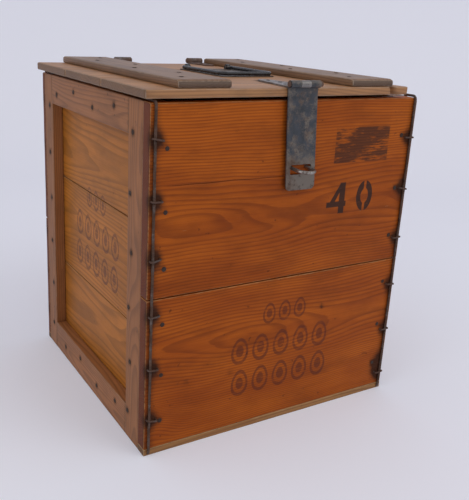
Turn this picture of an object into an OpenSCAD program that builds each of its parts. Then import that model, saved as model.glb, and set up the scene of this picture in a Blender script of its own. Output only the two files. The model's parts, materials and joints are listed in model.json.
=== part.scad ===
// Wooden egg crate with framed ends, wire-bound corners, a hinged lid, a hasp and a folding lid handle.
// The origin is the middle of the underside. X runs along the front, Y towards the back and Z up.

/* [Body] */
// Width along the front, over both end frames
body_w = 352; // [320:1:420]
// Depth from the front face to the back face
body_d = 334; // [300:1:400]
// Height of the box without its lid
body_h = 388; // [340:1:460]
// Thickness of the front boards
front_t = 16; // [13:0.5:20]
// Thickness of the back boards
back_t = 10; // [9:0.5:16]
// Thickness of the bottom boards
bottom_t = 8; // [7:0.5:12]
// Height of the open seam between the two boards of the front and of the back
front_seam_z = 186; // [150:1:230]
// Width of the open seams between neighbouring boards
seam = 1.2; // [0.6:0.1:2.5]
// Radius that wear has put on the long edges of the boards
worn_r = 1.2; // [0.6:0.1:2]

/* [End frames] */
// Thickness of the boards that close the ends
panel_t = 9.5; // [8:0.5:13]
// Thickness of the stiles and rails nailed over them
batten_t = 14.3; // [11:0.1:18]
// Width of the front stiles
front_stile_w = 34.5; // [28:0.5:45]
// Width of the back stiles
back_stile_w = 29; // [24:0.5:45]
// Width of the top rails
top_rail_w = 37; // [30:0.5:50]
// Width of the bottom rails
bottom_rail_w = 39; // [30:0.5:50]
// Height of the lower seam in the end boards
low_panel_seam_z = 130; // [100:1:150]
// Height of the upper seam in the end boards
high_panel_seam_z = 253; // [220:1:280]
// Radius to which the front's upper right corner has worn
worn_corner_r = 7; // [3:0.5:9]

/* [Corner wires] */
// Diameter of the wire that binds each upright corner
wire_d = 3; // [2.5:0.1:4]
// Distance from the end of the crate to the middle of the wire
wire_in = 5.2; // [5:0.1:8]
// Length of the wire tails over the top edge and under the bottom
wire_tail = 15; // [10:0.5:24]
// Inside radius of the wire's bends and of the board edges under them
wire_bend_r = 3; // [2.5:0.1:4]
// Diameter of the staples over the wire
staple_d = 2; // [1.6:0.1:2.4]
// Width of a wire staple between the middles of its legs
staple_w = 11.5; // [10:0.5:15]
// Depth to which the staple legs are driven
staple_leg = 8; // [6:0.5:9]
// Number of staples along each wire
staples_each = 6; // [4:1:8]

/* [Lid] */
// Thickness of the lid boards
lid_t = 9.5; // [8:0.5:13]
// How far the lid passes the left end of the body
lid_past_left = 7; // [0:0.5:12]
// How far the lid stops short of the right end of the body
lid_short_right = 21; // [0:0.5:26]
// How far the lid passes the front face
lid_past_front = 3; // [0:0.5:6]
// Radius on the lid's long edges
lid_edge_r = 2.5; // [1:0.1:3.5]
// Largest opening angle of the lid
lid_open = 220; // [90:5:220]

/* [Cleats] */
// Width of the two lid cleats
cleat_w = 61; // [45:1:70]
// Thickness of the lid cleats
cleat_t = 8.5; // [7:0.5:12]
// Distance from the lid's left end to the left cleat
left_cleat_in = 35; // [25:1:50]
// Distance from the lid's right end to the right cleat
right_cleat_in = 23; // [15:1:40]
// Radius of the rounded cleat ends
cleat_end_r = 6.5; // [4:0.5:7]

/* [Hasp] */
// Width of the hasp plate
hasp_w = 39; // [30:0.5:45]
// Thickness of the hasp, hinge and leaf metal
strap_t = 1.8; // [1.4:0.1:2]
// Outside radius of the hinge knuckles
knuckle_r = 4; // [3.6:0.1:4.5]
// Radius of the hinge pins
pin_r = 1.9; // [1.5:0.05:2.1]
// Length of the hasp plate below its pin
hasp_len = 115; // [100:1:130]
// Distance from the hasp pin down to the middle of the slot
slot_down = 92; // [80:0.5:98]
// Width of the hasp slot
slot_w = 28; // [26:0.5:30]
// Height of the hasp slot
slot_h = 11; // [10:0.5:14]
// Sideways lean of the hasp plate, in degrees
hasp_lean = 3.6; // [0:0.1:5]
// Length of the hasp's tapered leaf on the lid
leaf_len = 80; // [60:1:95]
// Width of the leaf at its tip
leaf_tip_w = 18; // [12:0.5:26]
// Diameter of the hasp staple's wire
eye_d = 4; // [3.2:0.1:4.4]
// Width of the hasp staple over its legs
eye_w = 25; // [22:0.5:25]
// Reach of the hasp staple from the front face
eye_reach = 25; // [20:0.5:28]
// Angle by which the hasp staple droops
eye_droop = 5; // [0:1:6]
// Largest swing of the hasp plate
hasp_open = 265; // [180:5:265]

/* [Back hinges] */
// Gap between the right cleat and the hinge beside it
hinge_beside = 1; // [0.5:0.5:8]
// Width of the back hinges
hinge_w = 24; // [20:1:32]
// Length of the hinge leaf on the lid
hinge_top_len = 52; // [40:1:60]
// Length of the hinge leaf on the back
hinge_back_len = 60; // [45:1:80]

/* [Lid handle] */
// Sideways place of the handle's middle
handle_x = 12; // [5:1:20]
// Distance from the lid's second seam forward to the handle's pivots
handle_in_front = 3; // [0:0.5:12]
// Width of the bail over its arms
bail_w = 76; // [70:1:90]
// Length of the bail from its pivots to its grip
bail_len = 97; // [85:1:100]
// Diameter of the bail's rod
bail_d = 4.6; // [4:0.1:5.5]
// Thickness of the handle's base plate
base_t = 1.2; // [1:0.1:2]
// Largest swing of the bail
bail_open = 175; // [120:5:175]

/* [Hidden] */
// One node for each piece, with identical nails and staples grouped
$fn = 48;

// Clearance between a pin or rod and the hole that it turns in
run_gap = 0.06;
// Clearance between pieces that move past each other
move_gap = 0.3;
// Gap between neighbouring knuckles
side_gap = 0.4;
// Gap between a wire and the wood beside it
wire_gap = 0.2;
// Boards across the lid and across the bottom
lid_boards = 3;
bottom_boards = 3;

left = -body_w / 2;
right = body_w / 2;
front = -body_d / 2;
back = body_d / 2;
wire_r = wire_d / 2;

lid_z = body_h + wire_gap + wire_d + move_gap;
lid_top = lid_z + lid_t;
lid_x0 = left - lid_past_left;
lid_x1 = right - lid_short_right;
lid_y0 = front - lid_past_front;
lid_y1 = back - move_gap;
lid_board_w = (lid_y1 - lid_y0 - (lid_boards - 1) * seam) / lid_boards;
bottom_board_w = (body_d - (bottom_boards - 1) * seam) / bottom_boards;
left_cleat_x = lid_x0 + left_cleat_in;
right_cleat_x = lid_x1 - right_cleat_in - cleat_w;

knuckle_z = lid_top + knuckle_r;
hinge_pin_y = back + knuckle_r;
hinge_x = right_cleat_x - hinge_beside - hinge_w / 2;
hasp_pin_y = lid_y0 - move_gap - knuckle_r;
hasp_x = -1;
eye_x = hasp_x + slot_down * tan(hasp_lean);
eye_z = knuckle_z - slot_down + 2;

nail_r = 1.25;
nail_head_r = 2.9;
nail_head_t = 0.7;
nail_len = 22;
tack_len = 8.5;
edge_grip = 12;
bottom_grip = 18;
end_in = 34;
rail_in = 38;

bail_r = bail_d / 2;
bail_y = lid_y0 + 2 * lid_board_w + seam - handle_in_front;
bail_z = lid_top + base_t + move_gap + bail_r;
lug_w = 5;
lug_r = bail_r + run_gap + 1.7;
base_margin = 9;

// Rectangle with four round corners, on the positive side of both axes
module round_rect(w, h, r) {
    translate([r, 0]) square([w - 2 * r, h]);
    translate([0, r]) square([w, h - 2 * r]);
    for (x = [r, w - r]) {
        for (y = [r, h - r]) {
            translate([x, y]) circle(r);
        }
    }
}

// Board that runs along X, with worn long edges, from its low corner and its size
module board_x(low, size, r = worn_r) {
    translate(low) rotate([90, 0, 90]) linear_extrude(size.x) round_rect(size.y, size.z, r);
}

// Board that runs along Y
module board_y(low, size, r = worn_r) {
    translate([low.x, low.y + size.y, low.z]) rotate([90, 0, 0]) linear_extrude(size.y)
        round_rect(size.x, size.z, r);
}

// Board that runs along Z
module board_z(low, size, r = worn_r) {
    translate(low) linear_extrude(size.z) round_rect(size.x, size.y, r);
}

// Draws its children on the left end, or mirrored on the right end
module at_end(side) {
    if (side == "left") children();
    else mirror([1, 0, 0]) children();
}

// End frame pieces, drawn for the left end
stile_colour = "#9a7253";
panel_colour = "#a06a3c";

module front_stile(side) {
    color(stile_colour) at_end(side)
        difference() {
            board_z([left, front + front_t, 0], [batten_t, front_stile_w, body_h]);
            tail_groove();
        }
}

module back_stile(side) {
    color(stile_colour) at_end(side)
        difference() {
            board_z([left, back - back_t - back_stile_w, 0], [batten_t, back_stile_w, body_h]);
            mirror([0, 1, 0]) tail_groove();
        }
}

rail_y0 = front + front_t + front_stile_w;
rail_len = body_d - front_t - back_t - front_stile_w - back_stile_w;

module rail(side, z, w) {
    color(stile_colour) at_end(side)
        board_y([left, rail_y0, z], [batten_t, rail_len, w]);
}

module panel(side, z0, z1) {
    color(panel_colour) at_end(side)
        board_y([left + batten_t, front + front_t, z0], [panel_t, body_d - front_t - back_t, z1 - z0]);
}

module middle_panel(side) {
    panel(side, low_panel_seam_z + seam / 2, high_panel_seam_z - seam / 2);
}

// Rest of a square corner outside its round edge, the corner at the origin and the board above and behind it
module corner_waste() {
    difference() {
        translate([-1, -1]) square([wire_bend_r + 1, wire_bend_r + 1]);
        translate([wire_bend_r, wire_bend_r]) circle(wire_bend_r);
    }
}

// Groove under the front left corner that takes a wire's tail and lower bend
module tail_groove() {
    roof = wire_d + 2 * wire_gap;
    translate([left + wire_in - wire_r - wire_gap, front, 0]) rotate([90, 0, 90]) linear_extrude(roof) {
        translate([-1, -1]) square([wire_bend_r + wire_tail + wire_gap + 2, roof + 1]);
        translate([0, roof]) corner_waste();
    }
}

// Board of the front or, mirrored, of the back
module front_board(z0, z1, t) {
    difference() {
        board_x([left, front, z0], [body_w, t, z1 - z0]);
        if (z1 == body_h) {
            translate([left - 1, front, body_h]) rotate([90, 0, 90]) linear_extrude(body_w + 2)
                mirror([0, 1]) corner_waste();
        }
        if (z0 == bottom_t) {
            tail_groove();
            mirror([1, 0, 0]) tail_groove();
        }
    }
}

front_colour = "#b5651d";

module front_upper_board() {
    color(front_colour)
        difference() {
            front_board(front_seam_z + seam / 2, body_h, front_t);
            translate([right, front + front_t + 1, body_h]) rotate([90, 0, 0]) linear_extrude(front_t + 2)
                difference() {
                    translate([-worn_corner_r, -worn_corner_r]) square(worn_corner_r + 1);
                    translate([-worn_corner_r, -worn_corner_r]) circle(worn_corner_r);
                }
        }
}

module front_lower_board() {
    color(front_colour) front_board(bottom_t, front_seam_z - seam / 2, front_t);
}

module back_upper_board() {
    color(front_colour) mirror([0, 1, 0]) front_board(front_seam_z + seam / 2, body_h, back_t);
}

module back_lower_board() {
    color(front_colour) mirror([0, 1, 0]) front_board(bottom_t, front_seam_z - seam / 2, back_t);
}

// Bottom boards, counted from the front; the outer two run out under the front and back boards
module bottom_board(i) {
    outer = i != 1;
    from = outer ? left : left + batten_t;
    color("#b98a50")
        difference() {
            board_x([from, front + i * (bottom_board_w + seam), 0], [-2 * from, bottom_board_w, bottom_t]);
            if (outer) {
                for (m = [0, 1]) {
                    mirror([m, 0, 0]) mirror([0, i == 0 ? 0 : 1, 0]) {
                        translate([left - 1, front + (i == 0 ? front_t : back_t), -1])
                            cube([batten_t + 1, bottom_board_w, bottom_t + 2]);
                        tail_groove();
                    }
                }
            }
        }
}

// Wire that runs up a corner, over the top edge and under the bottom, drawn for the front left corner
module corner_wire() {
    color("#4a3a33") {
        low_z = wire_r + wire_gap;
        high_z = body_h + wire_gap + wire_r;
        face_y = front - wire_gap - wire_r;
        bend = wire_bend_r + wire_gap + wire_r;
        translate([left + wire_in, 0, 0]) {
            translate([0, face_y, low_z + bend]) cylinder(r = wire_r, h = high_z - low_z - 2 * bend);
            for (z = [low_z, high_z]) {
                translate([0, face_y + bend + wire_tail, z]) rotate([90, 0, 0])
                    cylinder(r = wire_r, h = wire_tail);
            }
            translate([0, face_y + bend, high_z - bend]) rotate([90, 0, -90]) rotate_extrude(angle = 90)
                translate([bend, 0]) circle(wire_r);
            translate([0, face_y + bend, low_z + bend]) rotate([0, 0, -90]) rotate([-90, 0, 0])
                rotate_extrude(angle = 90) translate([bend, 0]) circle(wire_r);
        }
    }
}

// Heights of the staples along a wire, between the first and the last
function staple_heights(first, last) =
    [for (i = [0 : staples_each - 1]) first + i * (last - first) / (staples_each - 1)];

left_staple_low = 45;
left_staple_top = 35;
right_staple_low = 26;
right_staple_top = 47;

// One staple, its crown over the wire and its legs driven into the board
module wire_staple() {
    crown_y = -(wire_gap + wire_d + 0.1 + staple_d / 2);
    leg_x = [-(wire_r + 0.2 + staple_d / 2), staple_w - wire_r - 0.2 - staple_d / 2];
    for (x = leg_x) {
        translate([x, crown_y, 0]) rotate([-90, 0, 0])
            cylinder(d = staple_d, h = staple_leg - crown_y, $fn = 16);
        translate([x, crown_y, 0]) sphere(d = staple_d, $fn = 16);
    }
    translate([leg_x[0], crown_y, 0]) rotate([0, 90, 0]) cylinder(d = staple_d, h = staple_w, $fn = 16);
}

module wire_staples() {
    color("#57463c") {
        for (z = staple_heights(left_staple_low, body_h - left_staple_top)) {
            translate([left + wire_in, front, z]) wire_staple();
        }
        for (z = staple_heights(right_staple_low, body_h - right_staple_top)) {
            translate([right - wire_in, front, z]) mirror([1, 0, 0]) wire_staple();
        }
    }
}

// Nail along Z, its flat head on the surface at zero and its shank below
module nail(len, head_r = nail_head_r) {
    cylinder(r = head_r, h = nail_head_t, $fn = 24);
    translate([0, 0, -len]) cylinder(r = nail_r, h = len, $fn = 16);
}

// Evenly spaced places between two ends
function spread(a, b, count) = [for (i = [0 : count - 1]) a + i * (b - a) / (count - 1)];

// Nails through the frame into the end boards, drawn for the left end
module frame_nails(side) {
    color("#3d322c") at_end(side) {
        for (i = [0 : 3]) {
            wobble = i % 2 == 0 ? 5 : -5;
            high_y = spread(rail_y0 + rail_in, rail_y0 + rail_len - rail_in / 2, 4)[i];
            low_y = spread(rail_y0 + rail_in * 0.8, rail_y0 + rail_len - rail_in, 4)[i];
            translate([left, high_y, body_h - top_rail_w / 2 + wobble]) rotate([0, -90, 0]) nail(nail_len);
            translate([left, low_y, bottom_rail_w / 2 + 2 + wobble]) rotate([0, -90, 0]) nail(nail_len);
        }
        for (i = [0 : 5]) {
            front_z = spread(end_in, body_h - end_in, 6)[i];
            back_z = spread(end_in, body_h - end_in - 6, 6)[i];
            front_y = rail_y0 - (i % 2 == 0 ? 6 : 11);
            back_y = rail_y0 + rail_len + (i % 2 == 0 ? 12 : 10);
            translate([left, front_y, front_z]) rotate([0, -90, 0]) nail(nail_len);
            translate([left, back_y, back_z]) rotate([0, -90, 0]) nail(nail_len);
        }
    }
}

// Nails through the front board, or mirrored through the back board, into the end boards
module edge_nails(t) {
    color("#3d322c")
        for (m = [0, 1]) {
            mirror([m, 0, 0])
                for (part = [0.22, 0.52, 0.84]) {
                    for (z = [part * front_seam_z, front_seam_z + (part - 0.06) * (body_h - front_seam_z)]) {
                        translate([left + batten_t + panel_t / 2, front, z]) rotate([90, 0, 0])
                            nail(t + edge_grip);
                    }
                }
        }
}

module front_nails() {
    edge_nails(front_t);
}

module back_nails() {
    mirror([0, 1, 0]) edge_nails(back_t);
}

// Nails up through the bottom boards into the end boards, their heads let in flush
module bottom_nails() {
    color("#3d322c")
        for (side = ["left", "right"]) {
            at_end(side)
                for (i = [0 : bottom_boards - 1]) {
                    for (part = [0.2, 0.6]) {
                        y = front + i * (bottom_board_w + seam) + part * bottom_board_w;
                        translate([left + batten_t + panel_t / 2, y, nail_head_t]) mirror([0, 0, 1])
                            nail(bottom_t + bottom_grip);
                    }
                }
        }
}

// Staple through the hasp slot, with its legs driven into the front
module hasp_staple() {
    r = eye_d / 2;
    half = eye_w / 2 - r;
    straight = eye_reach - eye_w / 2;
    color("#77706a") translate([eye_x, front, eye_z]) rotate([eye_droop, 0, 0]) {
        for (x = [-half, half]) {
            translate([x, -straight, 0]) rotate([-90, 0, 0]) cylinder(r = r, h = straight + front_t - 1);
        }
        translate([0, -straight, 0]) rotate([0, 0, 180]) rotate_extrude(angle = 180)
            translate([half, 0]) circle(r);
    }
}

// Knuckles of a hinge along X: the outer two, or the middle one
module knuckles(w, outer) {
    third = w / 3;
    spans = outer ? [[-w / 2, -third / 2 - side_gap / 2], [third / 2 + side_gap / 2, w / 2]]
                  : [[-third / 2 + side_gap / 2, third / 2 - side_gap / 2]];
    for (s = spans) {
        translate([s[0], 0, 0]) rotate([0, 90, 0]) knuckle(s[1] - s[0]);
    }
}

module knuckle(len) {
    difference() {
        cylinder(r = knuckle_r, h = len);
        translate([0, 0, -1]) cylinder(r = pin_r + run_gap, h = len + 2);
    }
}

// Sheet that hangs from the outer knuckles of a hinge, in the X and Z plane, behind the pin
module hung_sheet(w, len, r, shift) {
    third = w / 3;
    rotate([90, 0, 0]) mirror([0, 1, 0]) translate([0, 0, -knuckle_r]) linear_extrude(strap_t)
        difference() {
            union() {
                polygon([[-w / 2, 0], [w / 2, 0], [w / 2 + shift, len - r], [-w / 2 + shift, len - r]]);
                translate([-w / 2 + shift + r, len - r - 0.01]) square([w - 2 * r, r + 0.01]);
                for (x = [-w / 2 + shift + r, w / 2 + shift - r]) {
                    translate([x, len - r]) circle(r);
                }
            }
            translate([-third / 2 - side_gap / 2, -1]) square([third + side_gap, knuckle_r + side_gap + 1]);
        }
}

// Leaf of a hinge that hangs from its pin, drawn for a hinge at the front
module hung_leaf(w, len, r, shift = 0) {
    knuckles(w, true);
    hung_sheet(w, len, r, shift);
}

// Leaf that lies on the lid, drawn with the pin at the origin and the leaf running back along Y
module lying_leaf(w, len, tip_w) {
    third = w / 3;
    knuckles(w, false);
    translate([0, 0, -knuckle_r]) linear_extrude(strap_t) {
        translate([-third / 2 + side_gap / 2, 0]) square([third - side_gap, knuckle_r + side_gap + 1]);
        polygon([
            [-w / 2, knuckle_r + side_gap], [w / 2, knuckle_r + side_gap],
            [tip_w / 2, len - tip_w / 2], [-tip_w / 2, len - tip_w / 2]
        ]);
        translate([0, len - tip_w / 2]) circle(tip_w / 2);
    }
}

// Pin whose heads clench the outer knuckles
module hinge_pin(w) {
    translate([-w / 2 - 1, 0, 0]) rotate([0, 90, 0]) cylinder(r = pin_r, h = w + 2);
    for (x = [-w / 2 - 1.2, w / 2]) {
        translate([x, 0, 0]) rotate([0, 90, 0]) cylinder(r = pin_r + 0.9, h = 1.2);
    }
}

// Places a hinge drawn for the front at one of the back hinges
module at_back_hinge(side) {
    x = side == "left" ? -hinge_x : hinge_x;
    translate([x, hinge_pin_y, knuckle_z]) mirror([0, 1, 0]) children();
}

metal_colour = "#5c5148";

module hinge_back_leaf(side) {
    color(metal_colour) at_back_hinge(side) hung_leaf(hinge_w, hinge_back_len, 3);
}

module hinge_lid_leaf(side) {
    color(metal_colour) at_back_hinge(side) lying_leaf(hinge_w, hinge_top_len, hinge_w * 0.6);
}

module hinge_pins() {
    color("#6a6058")
        for (side = ["left", "right"]) {
            at_back_hinge(side) hinge_pin(hinge_w);
        }
}

// Tacks through a hanging back leaf, in two rows below the knuckles
module hinge_back_nails() {
    color("#3d322c")
        for (x = [-hinge_x, hinge_x]) {
            for (part = [0.43, 0.63, 0.83]) {
                side = hinge_w * (part == 0.63 ? -0.25 : 0.25);
                translate([x + side, back + strap_t, knuckle_z - part * hinge_back_len]) rotate([-90, 0, 0])
                    nail(tack_len, 2.6);
            }
        }
}

module hinge_lid_nails() {
    color("#3d322c")
        for (x = [-hinge_x, hinge_x]) {
            for (part = [0.31, 0.54, 0.77]) {
                side = hinge_w * (part == 0.54 ? -0.17 : part == 0.31 ? 0.2 : 0);
                translate([x + side, hinge_pin_y - part * hinge_top_len, lid_top + strap_t])
                    nail(tack_len, 2.6);
            }
        }
}

// Lid boards, counted from the front, the first with the piece broken out of its front edge
chip_from_right = 25;
chip_w = 7;
chip_deep = 9;

module lid_board(i) {
    color("#8f7559")
        difference() {
            board_x([lid_x0, lid_y0 + i * (lid_board_w + seam), lid_z],
                    [lid_x1 - lid_x0, lid_board_w, lid_t], lid_edge_r);
            if (i == 0) {
                translate([lid_x1 - chip_from_right, lid_y0, lid_z - 1]) rotate([0, 12, 0])
                    cylinder(r = chip_w / 2, h = lid_t * 2 + 2);
                translate([lid_x1 - chip_from_right - chip_w / 2, lid_y0 - chip_deep, lid_z - 1])
                    rotate([0, 12, 0]) cube([chip_w, chip_deep, lid_t * 2 + 2]);
            }
        }
}

// Cleat across the lid boards, with round ends and eased long edges
cleat_in = 1.5;
cleat_edge_r = 2;

module cleat(x) {
    len = lid_y1 - lid_y0 - 2 * cleat_in;
    intersection() {
        translate([x, lid_y0 + cleat_in, lid_top]) rotate([90, 0, 90]) linear_extrude(cleat_w)
            difference() {
                square([len, cleat_t]);
                for (m = [0, 1]) {
                    translate([m * len, 0]) mirror([m, 0]) difference() {
                        translate([-1, cleat_t - cleat_end_r]) square([cleat_end_r + 1, cleat_end_r + 1]);
                        translate([cleat_end_r, cleat_t - cleat_end_r]) circle(cleat_end_r);
                    }
                }
            }
        translate([x, back + 1, lid_top]) rotate([90, 0, 0]) linear_extrude(body_d + lid_past_front + 2)
            difference() {
                square([cleat_w, cleat_t]);
                for (m = [0, 1]) {
                    translate([m * cleat_w, 0]) mirror([m, 0]) difference() {
                        translate([-1, cleat_t - cleat_edge_r]) square([cleat_edge_r + 1, cleat_edge_r + 1]);
                        translate([cleat_edge_r, cleat_t - cleat_edge_r]) circle(cleat_edge_r);
                    }
                }
            }
    }
}

module left_cleat() {
    color("#97714a") cleat(left_cleat_x);
}

// The right cleat's front end has lifted, so a shallow hollow is cut under it
lift_w = 24;
lift_len = 26;
lift_t = 1.1;

module right_cleat() {
    color("#97714a")
        difference() {
            cleat(right_cleat_x);
            translate([right_cleat_x + cleat_w * 0.2, lid_y0 - 1, lid_top - 1])
                cube([lift_w, lift_len, lift_t + 1]);
        }
}

// Clenched nails through each cleat, two in each lid board
module cleat_nails() {
    color("#3d322c")
        for (x = [left_cleat_x, right_cleat_x]) {
            for (i = [0 : lid_boards - 1]) {
                for (part = [0.27, 0.73]) {
                    y = lid_y0 + i * (lid_board_w + seam) + part * lid_board_w;
                    across = part < 0.5 ? 0.3 : 0.7;
                    translate([x + across * cleat_w, y, lid_top + cleat_t]) nail(cleat_t + lid_t - 1.5);
                }
            }
        }
}

module hasp_leaf() {
    color("#837b74") translate([hasp_x, hasp_pin_y, knuckle_z]) lying_leaf(hasp_w, leaf_len, leaf_tip_w);
}

module hasp_pin() {
    color("#6a5348") translate([hasp_x, hasp_pin_y, knuckle_z]) {
        hinge_pin(hasp_w);
        translate([hasp_w / 2, 0, 0]) rotate([0, 90, 0]) cylinder(r = pin_r + 0.9, h = 3.5);
    }
}

module hasp_leaf_nails() {
    color("#3d322c")
        for (part = [[-0.23, 0.28], [0.23, 0.28], [0, 0.55], [0, 0.83]]) {
            translate([hasp_x + part.x * hasp_w, hasp_pin_y + part.y * leaf_len, lid_top + strap_t])
                nail(tack_len, 2.6);
        }
}

// Hasp plate, hung from the pin, with the slot that goes over the staple
module hasp_plate() {
    color("#3a3f45") translate([hasp_x, hasp_pin_y, knuckle_z])
        difference() {
            hung_leaf(hasp_w, hasp_len, 5, hasp_len * tan(hasp_lean));
            translate([slot_down * tan(hasp_lean) - slot_w / 2, knuckle_r + 1, -slot_down - slot_h / 2])
                rotate([90, 0, 0]) linear_extrude(strap_t + 2) round_rect(slot_w, slot_h, 2);
        }
}

// Base plate under the bail
module handle_base() {
    w = bail_w;
    color("#6d6a63")
        translate([handle_x - w / 2, bail_y - bail_len - bail_r - 1, lid_top]) linear_extrude(base_t)
            round_rect(w, bail_len + bail_r + 1 + base_margin, 4);
}

// Lugs that hold the bail's turned-in ends
module handle_lugs() {
    high = bail_z - lid_top - base_t;
    color("#3f3c39")
        for (m = [0, 1]) {
            translate([handle_x, bail_y, bail_z]) mirror([m, 0, 0])
                translate([bail_w / 2 - bail_d - move_gap - lug_w, 0, 0]) rotate([90, 0, 90])
                    linear_extrude(lug_w) difference() {
                        union() {
                            circle(lug_r);
                            translate([-lug_r, -high]) square([2 * lug_r, high]);
                        }
                        translate([-lug_r - 1, -high - lug_r]) square([2 * lug_r + 2, lug_r]);
                        circle(bail_r + run_gap);
                    }
        }
}

module handle_nails() {
    color("#3d322c")
        for (x = [-0.32, 0.32]) {
            for (y = [-0.86, -0.15]) {
                translate([handle_x + x * bail_w, bail_y + y * bail_len, lid_top + base_t])
                    nail(tack_len);
            }
        }
}

// Bail: a grip, two bends, two arms and two ends turned in through the lugs
module handle_bail() {
    bend = 8;
    half = bail_w / 2 - bail_r;
    color("#26262a") translate([handle_x, bail_y, bail_z]) {
        translate([-half + bend, -bail_len, 0]) rotate([0, 90, 0])
            cylinder(r = bail_r, h = 2 * (half - bend));
        for (m = [0, 1]) {
            mirror([m, 0, 0]) {
                translate([half - bend, -bail_len + bend, 0]) rotate([0, 0, -90]) rotate_extrude(angle = 90)
                    translate([bend, 0]) circle(bail_r);
                translate([half, -bail_len + bend, 0]) rotate([-90, 0, 0])
                    cylinder(r = bail_r, h = bail_len - bend);
                translate([half, 0, 0]) sphere(bail_r);
                translate([half - bail_r - move_gap - lug_w - 1.5, 0, 0]) rotate([0, 90, 0])
                    cylinder(r = bail_r, h = bail_r + move_gap + lug_w + 1.5);
            }
        }
    }
}

front_stile("left");  // left_front_stile
back_stile("left");  // left_back_stile
rail("left", body_h - top_rail_w, top_rail_w);  // left_top_rail
rail("left", 0, bottom_rail_w);  // left_bottom_rail
panel("left", high_panel_seam_z + seam / 2, body_h);  // left_upper_panel
middle_panel("left");  // left_middle_panel
panel("left", bottom_t, low_panel_seam_z - seam / 2);  // left_lower_panel
front_stile("right");  // right_front_stile
back_stile("right");  // right_back_stile
rail("right", body_h - top_rail_w, top_rail_w);  // right_top_rail
rail("right", 0, bottom_rail_w);  // right_bottom_rail
panel("right", high_panel_seam_z + seam / 2, body_h);  // right_upper_panel
middle_panel("right");  // right_middle_panel
panel("right", bottom_t, low_panel_seam_z - seam / 2);  // right_lower_panel
front_upper_board();
front_lower_board();
back_upper_board();
back_lower_board();
bottom_board(0);  // bottom_front_board
bottom_board(1);  // bottom_middle_board
bottom_board(2);  // bottom_back_board
corner_wire();  // front_left_wire
mirror([1, 0, 0]) corner_wire();  // front_right_wire
mirror([0, 1, 0]) corner_wire();  // back_left_wire
mirror([1, 0, 0]) mirror([0, 1, 0]) corner_wire();  // back_right_wire
wire_staples();  // front_wire_staples
mirror([0, 1, 0]) wire_staples();  // back_wire_staples
frame_nails("left");  // left_frame_nails
frame_nails("right");  // right_frame_nails
front_nails();
back_nails();
bottom_nails();
hasp_staple();
hinge_back_leaf("left");  // left_hinge_back_leaf
hinge_back_leaf("right");  // right_hinge_back_leaf
hinge_pins();
hinge_back_nails();
lid_board(0);  // lid_front_board
lid_board(1);  // lid_middle_board
lid_board(lid_boards - 1);  // lid_back_board
left_cleat();
right_cleat();
cleat_nails();
hinge_lid_leaf("left");  // left_hinge_lid_leaf
hinge_lid_leaf("right");  // right_hinge_lid_leaf
hinge_lid_nails();
hasp_leaf();
hasp_pin();
hasp_leaf_nails();
handle_base();
handle_lugs();
handle_nails();
hasp_plate();
handle_bail();
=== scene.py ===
"""Wooden egg crate: worn boards, driven nails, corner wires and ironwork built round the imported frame."""
import json
import math

import bpy
from bpy.props import FloatProperty, FloatVectorProperty, IntProperty, PointerProperty
from mathutils import Matrix, Vector, noise


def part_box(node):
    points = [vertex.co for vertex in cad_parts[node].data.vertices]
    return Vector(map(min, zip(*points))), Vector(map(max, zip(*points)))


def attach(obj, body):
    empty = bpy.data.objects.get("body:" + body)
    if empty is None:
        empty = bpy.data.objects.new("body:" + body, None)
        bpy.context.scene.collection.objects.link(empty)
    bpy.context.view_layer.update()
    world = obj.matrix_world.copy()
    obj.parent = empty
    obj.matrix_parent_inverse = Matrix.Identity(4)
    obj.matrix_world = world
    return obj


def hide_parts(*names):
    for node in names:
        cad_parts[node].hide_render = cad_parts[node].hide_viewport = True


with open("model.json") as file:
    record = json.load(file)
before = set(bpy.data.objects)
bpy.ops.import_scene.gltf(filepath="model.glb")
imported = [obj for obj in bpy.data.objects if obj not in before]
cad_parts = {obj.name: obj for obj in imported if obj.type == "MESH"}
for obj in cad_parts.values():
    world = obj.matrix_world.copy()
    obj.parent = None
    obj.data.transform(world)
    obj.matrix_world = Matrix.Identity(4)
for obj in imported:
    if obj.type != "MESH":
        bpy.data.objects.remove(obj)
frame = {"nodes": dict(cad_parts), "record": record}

bl_info = {
    "name": "Wooden egg crate",
    "version": (1, 0, 0),
    "blender": (4, 5, 0),
    "location": "View3D > Sidebar > Crate",
    "description": "Worn pine boards, nails, corner wires and ironwork on the crate's packed frame",
    "category": "Object",
}

MM = 0.001
X, Y, Z = 0, 1, 2


# ---------------------------------------------------------------- node maths

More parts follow.
